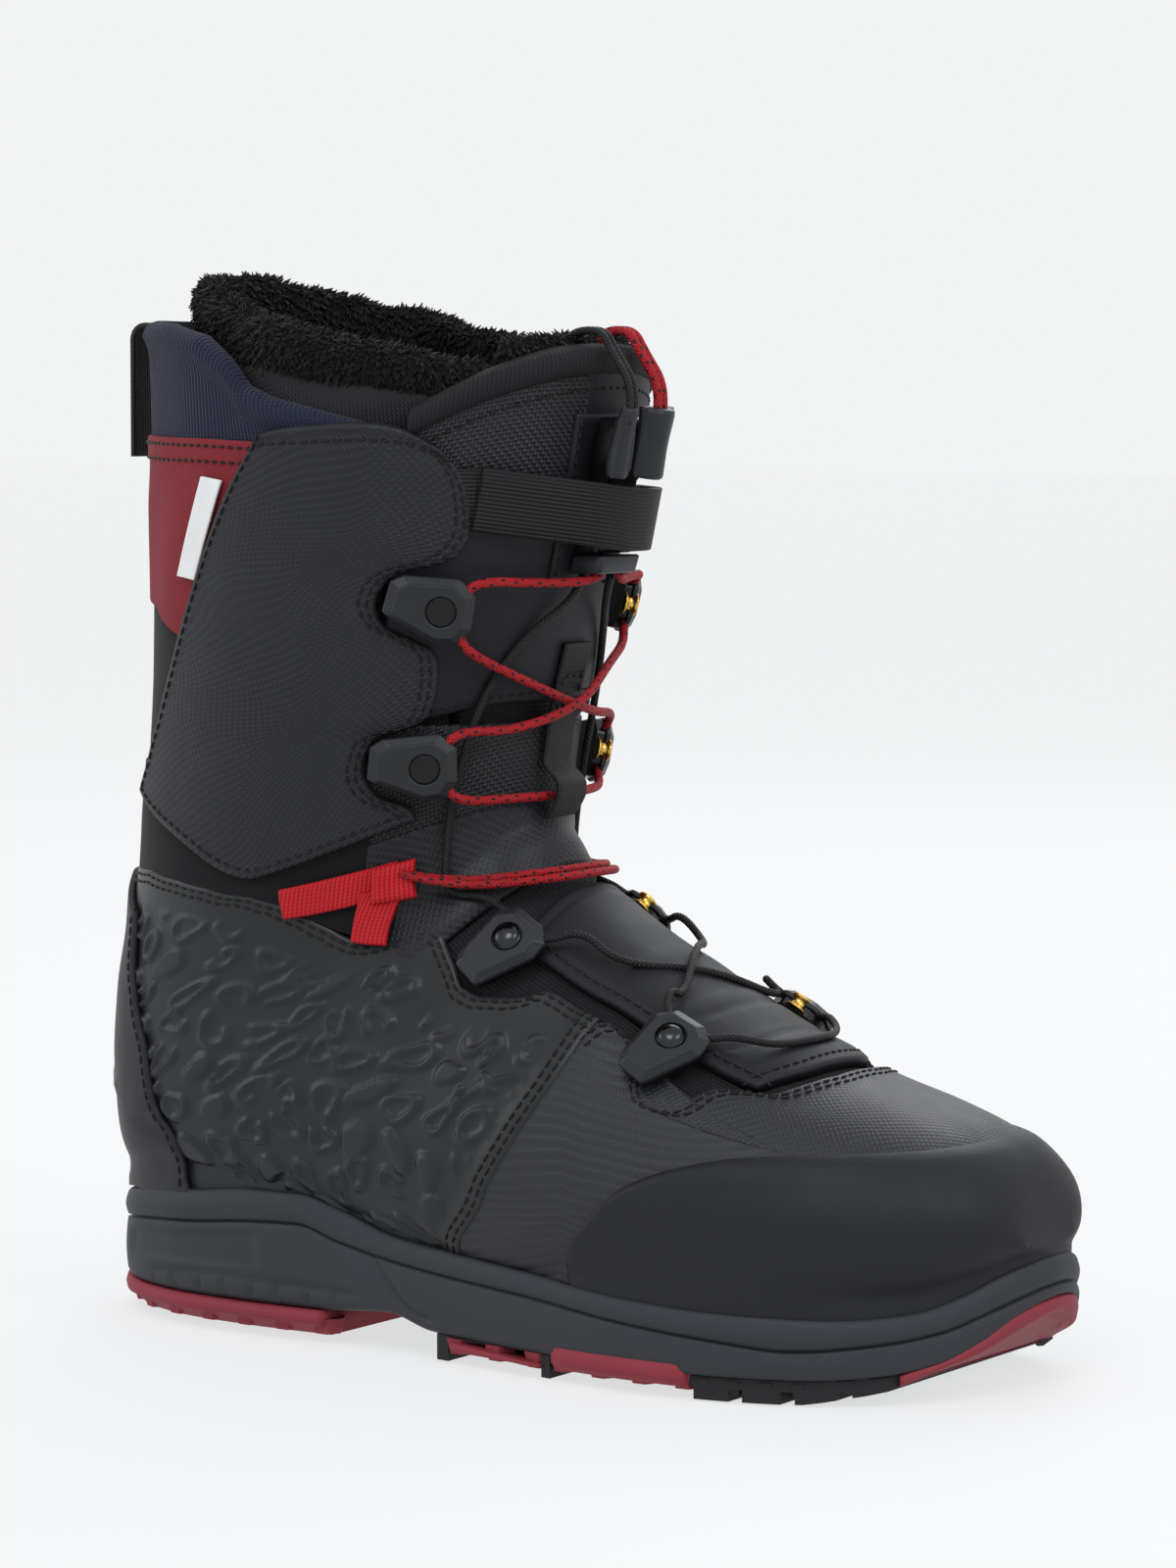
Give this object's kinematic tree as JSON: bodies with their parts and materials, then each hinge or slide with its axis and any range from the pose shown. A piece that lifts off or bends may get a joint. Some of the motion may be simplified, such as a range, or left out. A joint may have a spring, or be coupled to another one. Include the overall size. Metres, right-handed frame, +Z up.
{
  "type": "snowboard boot",
  "caption": "Right lace-up soft snowboard boot with a flexing ankle, lace hooks, a lace lock with pull handles, a power strap, a fleece-topped inner liner and a lugged cup sole.",
  "frame": {"origin": "middle of the boot's bounding box at ground level", "axes": "+X to the toe, +Y to the medial (inner) side, +Z up"},
  "size_m": [0.2868, 0.1212, 0.287],
  "materials": {
    "midsole_foam": "moulded foam, satin",
    "red_rubber": "moulded rubber",
    "black_rubber": "moulded rubber",
    "toe_rubber": "moulded rubber, fine grain",
    "grey_nylon": "moulded nylon",
    "black_nylon": "moulded nylon, glossy",
    "fibreboard": "pressed board",
    "stiffener_board": "thermoplastic sheet",
    "synthetic_leather": "coated and embossed",
    "suede": "brushed",
    "red_softshell": "woven softshell",
    "knit": "ribbed knit",
    "webbing": "woven webbing",
    "liner_foam": "knit over foam",
    "fleece": "deep pile",
    "dark_chrome": "dark plated",
    "brass": "polished",
    "red_cord": "braided cord",
    "black_cord": "braided cord"
  },
  "bodies": {
    "foot": {"ankle_cord": "red_cord", "ankle_gusset": "suede", "ankle_webbing": "webbing", "backstay": "toe_rubber", "black_lace": "black_cord", "black_lace_risers": "black_cord", "footbed": "liner_foam", "heel_stiffener": "stiffener_board", "heel_tread": "red_rubber", "instep_pad": "knit", "lasting_board": "fibreboard", "liner_flex": "liner_foam", "liner_foot": "liner_foam", "liner_toe": "liner_foam", "low_hooks": "grey_nylon", "lower_eyelets": "brass", "lower_rivets": "dark_chrome", "mid_hooks": "grey_nylon", "midsole": "midsole_foam", "outsole_base": "black_rubber", "outsole_side_pads": "red_rubber", "quarter_lateral": "synthetic_leather", "quarter_medial": "synthetic_leather", "shank": "grey_nylon", "toe_cap": "toe_rubber", "toe_puff": "stiffener_board", "toe_tread": "red_rubber", "tongue_flex": "synthetic_leather", "tongue_foot": "synthetic_leather", "vamp": "synthetic_leather"},
    "shaft": {"achilles_panel": "suede", "rear_gaiter": "red_softshell", "cuff_lining": "knit", "collar_lining": "knit", "cuff_flap_lateral": "synthetic_leather", "cuff_flap_medial": "synthetic_leather", "side_label": "red_softshell", "tongue_shin": "synthetic_leather", "tongue_binding": "knit", "tongue_keeper": "webbing", "rear_pull_loop": "webbing", "liner_cuff": "liner_foam", "liner_tongue": "liner_foam", "fleece_collar": "fleece", "cuff_hooks_upper": "grey_nylon", "cuff_hooks_lower": "grey_nylon", "cuff_rivets": "dark_chrome", "cuff_eyelets": "brass", "lace_lock_base": "black_nylon", "lace_lock_body": "black_nylon", "lace_lock_gate": "grey_nylon", "pull_cord_tails": "red_cord", "red_lace": "red_cord"},
    "strap": {"power_strap": "webbing"},
    "red_handle": {"red_pull_handle": "grey_nylon", "red_pull_cord": "red_cord"},
    "black_handle": {"black_pull_handle": "grey_nylon", "black_pull_cord": "black_cord"}
  },
  "joints": [
    {"name": "ankle_flex", "type": "hinge", "parent": "foot", "child": "shaft", "pos_m": [-0.065, 0, 0.121], "axis": [0, 1, 0], "range_deg": [-4, 8], "stiffness_Nm_per_rad": 45, "deforming": ["ankle_gusset", "tongue_flex", "liner_flex", "black_lace_risers"]},
    {"name": "strap_swing", "type": "hinge", "parent": "shaft", "child": "strap", "pos_m": [-0.0078, -0.0401, 0.2275], "axis": [-0.2148, 0, -0.9767], "range_deg": [0, 100]},
    {"name": "red_handle_lift", "type": "hinge", "parent": "shaft", "child": "red_handle", "pos_m": [0.0115, 0.0042, 0.2718], "axis": [0, -1, 0], "range_deg": [0, 75], "deforming": ["red_pull_cord"]},
    {"name": "black_handle_lift", "type": "hinge", "parent": "shaft", "child": "black_handle", "pos_m": [0.0115, -0.0096, 0.2718], "axis": [0, -1, 0], "range_deg": [0, 75], "deforming": ["black_pull_cord"]}
  ]
}
